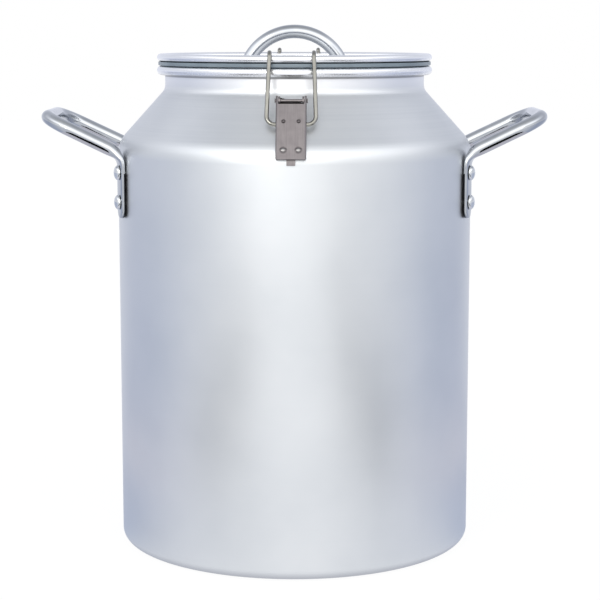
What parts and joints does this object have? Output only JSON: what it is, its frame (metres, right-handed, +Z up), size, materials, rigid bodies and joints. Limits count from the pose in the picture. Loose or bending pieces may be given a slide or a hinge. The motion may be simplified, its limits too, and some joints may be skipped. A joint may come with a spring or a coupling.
{
  "type": "clamp-lid steam canner",
  "caption": "Tall spun-metal canner with a conical shoulder, a dished lid held by two wire-bail toggle latches, rod loop side handles and an arched lid handle.",
  "frame": {"origin": "centre of the flat base, on the surface that the canner stands on", "axes": "+Z up, -Y towards the front latch, +X towards the right side handle"},
  "size_m": [0.3524, 0.2593, 0.3674],
  "materials": {
    "can_aluminium": "satin, fine lathe lines round the shoulder",
    "lid_aluminium": "satin, smoother on the rolled rim",
    "gasket_rubber": "matt slate blue-grey silicone",
    "handle_rod": "polished bright rod",
    "handle_rivets": "polished domed heads",
    "latch_steel": "pressed nickel-plated sheet, semi-matt",
    "latch_rivets": "small domed heads",
    "latch_wire": "drawn nickel-plated wire, warm"
  },
  "bodies": {
    "can": {"can_body": "can_aluminium", "left_handle": "handle_rod", "right_handle": "handle_rod", "left_handle_rivet_front_lower": "handle_rivets", "left_handle_rivet_front_upper": "handle_rivets", "left_handle_rivet_back_lower": "handle_rivets", "left_handle_rivet_back_upper": "handle_rivets", "right_handle_rivet_front_lower": "handle_rivets", "right_handle_rivet_front_upper": "handle_rivets", "right_handle_rivet_back_lower": "handle_rivets", "right_handle_rivet_back_upper": "handle_rivets", "front_latch_base": "latch_steel", "back_latch_base": "latch_steel", "front_latch_hinge_pin": "latch_steel", "back_latch_hinge_pin": "latch_steel", "front_latch_rivet_upper": "latch_rivets", "back_latch_rivet_upper": "latch_rivets", "front_latch_rivet_lower": "latch_rivets", "back_latch_rivet_lower": "latch_rivets"},
    "lid": {"lid": "lid_aluminium", "lid_gasket": "gasket_rubber", "lid_handle": "handle_rod", "lid_handle_rivet_left_inner": "handle_rivets", "lid_handle_rivet_left_outer": "handle_rivets", "lid_handle_rivet_right_inner": "handle_rivets", "lid_handle_rivet_right_outer": "handle_rivets"},
    "front_lever": {"front_latch_lever": "latch_steel"},
    "front_bail": {"front_latch_bail": "latch_wire"},
    "back_lever": {"back_latch_lever": "latch_steel"},
    "back_bail": {"back_latch_bail": "latch_wire"}
  },
  "joints": [
    {"name": "lid_lift", "type": "slide", "parent": "can", "child": "lid", "axis": [0, 0, 1], "range_m": [0, 0.036]},
    {"name": "front_lever_hinge", "type": "hinge", "parent": "can", "child": "front_lever", "pos_m": [-0.00179, -0.10803, 0.31819], "axis": [-0.9999, 0.0166, 0], "range_deg": [0, 130.1]},
    {"name": "front_bail_hinge", "type": "hinge", "parent": "front_lever", "child": "front_bail", "pos_m": [-0.00189, -0.1142, 0.30315], "axis": [-0.9999, 0.0166, 0], "range_deg": [-260.2, 0]},
    {"name": "back_lever_hinge", "type": "hinge", "parent": "can", "child": "back_lever", "pos_m": [0.00353, 0.10798, 0.31819], "axis": [0.9995, -0.0326, 0], "range_deg": [0, 130.1]},
    {"name": "back_bail_hinge", "type": "hinge", "parent": "back_lever", "child": "back_bail", "pos_m": [0.00373, 0.11416, 0.30315], "axis": [0.9995, -0.0326, 0], "range_deg": [-260.2, 0]}
  ],
  "couplings": [
    {"joint": "front_lever_hinge", "follows": "lid_lift", "rad_per_m": 63.026},
    {"joint": "front_bail_hinge", "follows": "lid_lift", "rad_per_m": -126.05},
    {"joint": "back_lever_hinge", "follows": "lid_lift", "rad_per_m": 63.026},
    {"joint": "back_bail_hinge", "follows": "lid_lift", "rad_per_m": -126.05}
  ]
}
